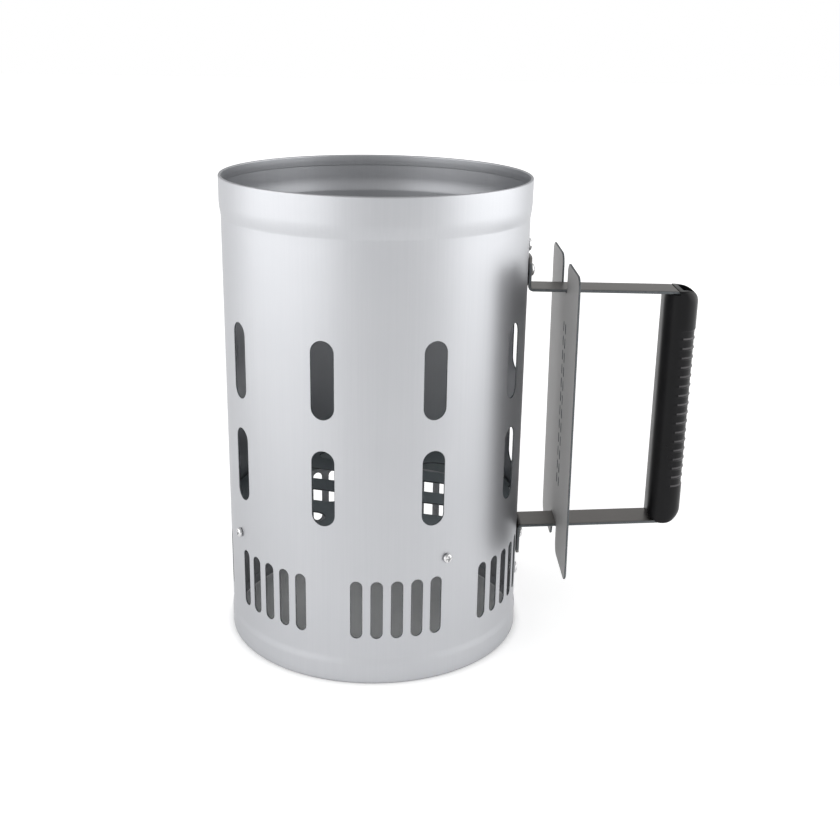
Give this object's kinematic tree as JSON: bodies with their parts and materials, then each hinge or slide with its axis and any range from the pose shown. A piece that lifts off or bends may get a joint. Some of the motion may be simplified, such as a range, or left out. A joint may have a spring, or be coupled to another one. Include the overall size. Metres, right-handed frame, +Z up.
{
  "type": "chimney charcoal starter",
  "caption": "Upright galvanised tube with air slots, an inner grate, a riveted strap handle, a heat shield and a ribbed grip, for lighting charcoal.",
  "frame": {"origin": "middle of the footprint of tube and handle together, on the plane that the tube stands on", "axes": "+X along the handle, away from the tube; +Y across the handle; +Z up, along the tube"},
  "size_m": [0.3022, 0.1932, 0.3],
  "materials": {
    "galvanised_sheet": "satin galvanised sheet, faint vertical grain",
    "grate_steel": "dull mill finish",
    "strap_steel": "dull grey flat bar",
    "shield_steel": "satin grey sheet",
    "zinc_fasteners": "bright zinc",
    "grip_plastic": "moulded, fine grain, ribbed outer side"
  },
  "bodies": {
    "root": {"fire_tube": "galvanised_sheet", "grate": "grate_steel", "handle_strap": "strap_steel", "heat_shield": "shield_steel", "grip": "grip_plastic", "grate_screw_1": "zinc_fasteners", "grate_screw_2": "zinc_fasteners", "grate_screw_3": "zinc_fasteners", "grate_screw_4": "zinc_fasteners", "grate_nut_1": "zinc_fasteners", "grate_nut_2": "zinc_fasteners", "grate_nut_3": "zinc_fasteners", "grate_nut_4": "zinc_fasteners", "rivet_upper": "zinc_fasteners", "rivet_lower": "zinc_fasteners", "seam_rivet_upper": "zinc_fasteners", "seam_rivet_lower": "zinc_fasteners"}
  },
  "joints": []
}
